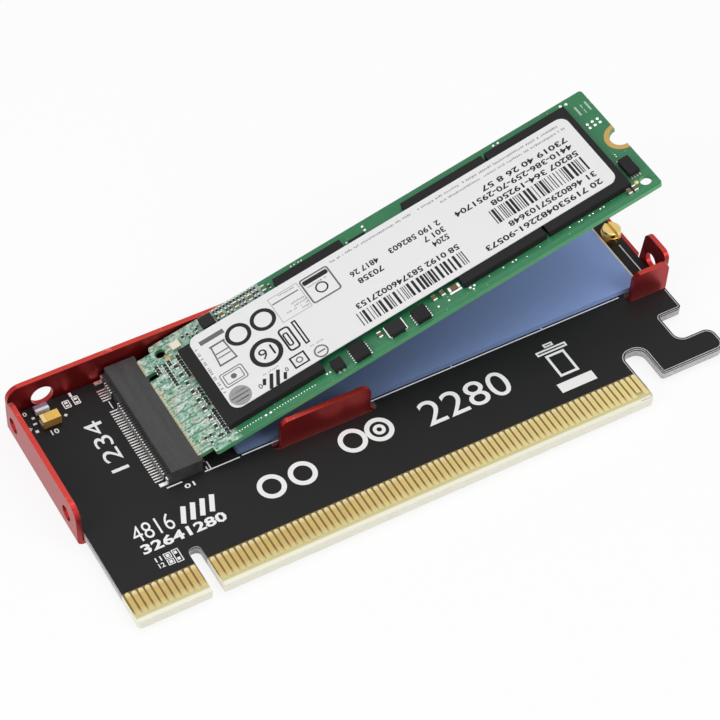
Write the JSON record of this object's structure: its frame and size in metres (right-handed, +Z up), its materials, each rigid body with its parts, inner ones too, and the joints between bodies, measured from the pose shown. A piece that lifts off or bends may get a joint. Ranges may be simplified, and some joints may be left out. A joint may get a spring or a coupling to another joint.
{
  "type": "nvme adapter card",
  "caption": "Card-edge adapter board in a folded red tray, with a slotted socket that holds a narrow storage board raised at an angle over a thermal pad.",
  "frame": {"origin": "centre of the whole footprint, at the tray underside", "axes": "+X along the card edge, from the first contact towards the hook; +Y from the card edge towards the tray back wall; +Z up from the tray floor"},
  "size_m": [0.1006, 0.0422, 0.0254],
  "materials": {
    "tray": "red anodised folded sheet",
    "adapter_board": "glass-epoxy board, black solder mask, pale cut edge",
    "edge_contacts_top": "gold plated",
    "edge_contacts_bottom": "gold plated",
    "socket_housing": "moulded black",
    "socket_rear_contacts": "tinned tails",
    "socket_front_contacts": "tinned tails",
    "socket_anchors": "tinned",
    "thermal_pad": "soft silicone sheet",
    "standoff": "turned",
    "drive_screw": "turned, slotted",
    "tantalum_capacitor": "moulded",
    "tantalum_terminals": "tinned",
    "power_led": "moulded, pale lens",
    "drive_board": "glass-epoxy board, green solder mask",
    "drive_contacts_top": "gold plated",
    "drive_contacts_bottom": "gold plated",
    "controller_chip": "moulded",
    "dram_chip": "moulded",
    "memory_chip_1": "moulded",
    "memory_chip_2": "moulded",
    "drive_label": "printed",
    "regulator_chip": "moulded",
    "power_chips": "moulded",
    "drive_inductors": "ferrite block",
    "crystal": "metal lid",
    "drive_capacitors": "ceramic with tinned ends",
    "drive_resistors": "ceramic with tinned ends",
    "edge_chip": "moulded",
    "edge_chip_leads": "tinned"
  },
  "bodies": {
    "card": {"tray": "tray", "adapter_board": "adapter_board", "edge_contacts_top": "edge_contacts_top", "edge_contacts_bottom": "edge_contacts_bottom", "socket_housing": "socket_housing", "socket_rear_contacts": "socket_rear_contacts", "socket_front_contacts": "socket_front_contacts", "socket_anchors": "socket_anchors", "thermal_pad": "thermal_pad", "standoff": "standoff", "drive_screw": "drive_screw", "tantalum_capacitor": "tantalum_capacitor", "tantalum_terminals": "tantalum_terminals", "power_led": "power_led"},
    "drive": {"drive_board": "drive_board", "drive_contacts_top": "drive_contacts_top", "drive_contacts_bottom": "drive_contacts_bottom", "controller_chip": "controller_chip", "dram_chip": "dram_chip", "memory_chip_1": "memory_chip_1", "memory_chip_2": "memory_chip_2", "drive_label": "drive_label", "regulator_chip": "regulator_chip", "power_chips": "power_chips", "drive_inductors": "drive_inductors", "crystal": "crystal", "drive_capacitors": "drive_capacitors", "drive_resistors": "drive_resistors", "edge_chip": "edge_chip", "edge_chip_leads": "edge_chip_leads"}
  },
  "joints": [
    {"name": "drive_tilt", "type": "hinge", "parent": "card", "child": "drive", "pos_m": [-0.03083, 0.00895, 0.004], "axis": [0, -1, 0], "range_deg": [-14.1, 5], "stiffness_Nm_per_rad": 0.2, "springref_deg": 0.57}
  ]
}
